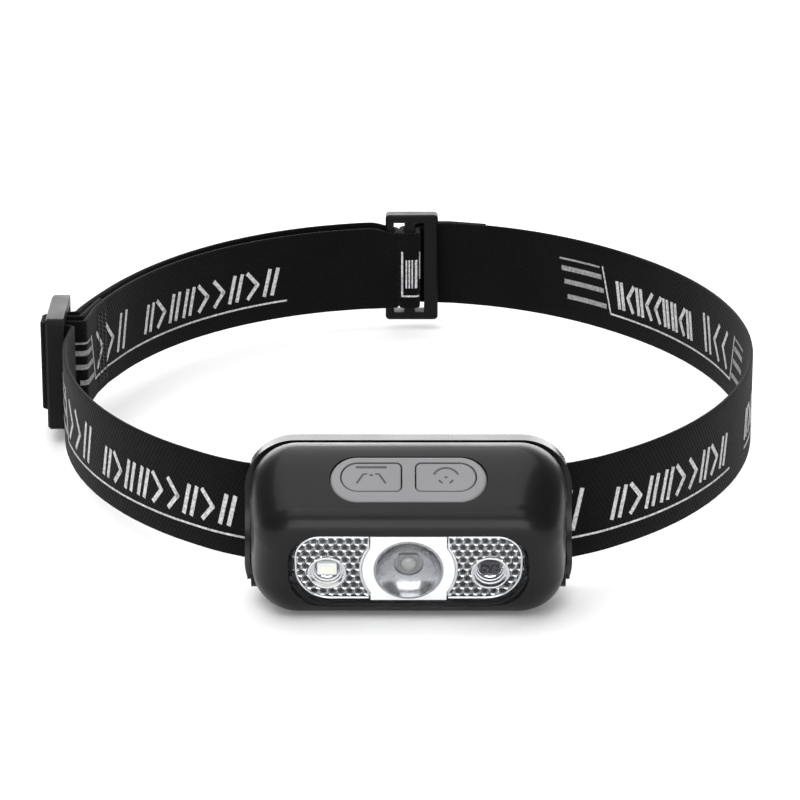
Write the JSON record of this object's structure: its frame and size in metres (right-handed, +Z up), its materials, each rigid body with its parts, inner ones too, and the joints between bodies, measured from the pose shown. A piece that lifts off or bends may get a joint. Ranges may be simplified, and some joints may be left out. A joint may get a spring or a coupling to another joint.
{
  "type": "headlamp",
  "caption": "Tilting headlamp on an elastic headband: black lamp body with a wide window, a round main reflector between two side wells, a grey two-key pad, a strap slider and a strap ring.",
  "frame": {"origin": "centre of the worn head loop, at half the strap's height", "axes": "+Z up as worn, the lamp faces -Y, +X is to the right of somebody who looks at the lamp's face"},
  "size_m": [0.155, 0.1924, 0.0318],
  "materials": {
    "strap_webbing": "black woven elastic webbing with pale printed marks",
    "stitch_thread": "black polyester thread",
    "housing_plastic": "satin-gloss black ABS",
    "bracket_plastic": "gloss black ABS",
    "buckle_plastic": "fine-textured black acetal",
    "key_silicone": "mid-grey silicone rubber",
    "seal_rubber": "black silicone rubber",
    "clear_lens": "clear moulded polycarbonate",
    "white_trim": "bright white moulded plastic",
    "mirror_chrome": "vacuum-metallised plastic",
    "led_ceramic": "pale LED package",
    "sensor_dark": "dark infrared-pass plastic",
    "circuit_board": "green solder mask on glass-epoxy board",
    "battery_wrap": "silver laminated pouch",
    "foam": "black adhesive foam",
    "steel": "nickel-plated steel",
    "switch_black": "black moulded switch body",
    "wire_red": "wire insulation"
  },
  "bodies": {
    "headband": {"headband_strap": "strap_webbing", "lamp_bracket": "bracket_plastic", "strap_slider": "buckle_plastic", "strap_ring": "buckle_plastic", "slider_stitching": "stitch_thread", "ring_stitching": "stitch_thread"},
    "lamp": {"front_shell": "housing_plastic", "rear_shell": "housing_plastic", "shell_gasket": "seal_rubber", "housing_screws": "steel", "front_lens": "clear_lens", "lens_gasket": "seal_rubber", "trim_plate": "white_trim", "main_reflector": "mirror_chrome", "left_reflector": "mirror_chrome", "right_reflector": "mirror_chrome", "main_led": "led_ceramic", "side_led": "led_ceramic", "motion_sensor": "sensor_dark", "led_board": "circuit_board", "key_board": "circuit_board", "charge_board": "circuit_board", "usb_socket": "steel", "tact_switches": "switch_black", "battery_cell": "battery_wrap", "battery_foam": "foam", "battery_leads": "wire_red", "button_pad": "key_silicone"},
    "mode_button": {"mode_key": "key_silicone", "mode_switch_plunger": "switch_black"},
    "sensor_button": {"sensor_key": "key_silicone", "sensor_switch_plunger": "switch_black"},
    "port_flap": {"port_cover": "seal_rubber"}
  },
  "joints": [
    {"name": "lamp_tilt", "type": "hinge", "parent": "headband", "child": "lamp", "pos_m": [0, -0.0868, -0.0098], "axis": [1, 0, 0], "range_deg": [0, 60]},
    {"name": "mode_key_press", "type": "slide", "parent": "lamp", "child": "mode_button", "axis": [0, 0.5635, -0.8261], "range_m": [0, 0.0005], "stiffness_N_per_m": 2000, "springref_m": -0.0002},
    {"name": "sensor_key_press", "type": "slide", "parent": "lamp", "child": "sensor_button", "axis": [0, 0.5635, -0.8261], "range_m": [0, 0.0005], "stiffness_N_per_m": 2000, "springref_m": -0.0002},
    {"name": "port_cover_open", "type": "hinge", "parent": "lamp", "child": "port_flap", "pos_m": [0.023, -0.0896, -0.01425], "axis": [0, -1, 0], "range_deg": [0, 100]}
  ]
}
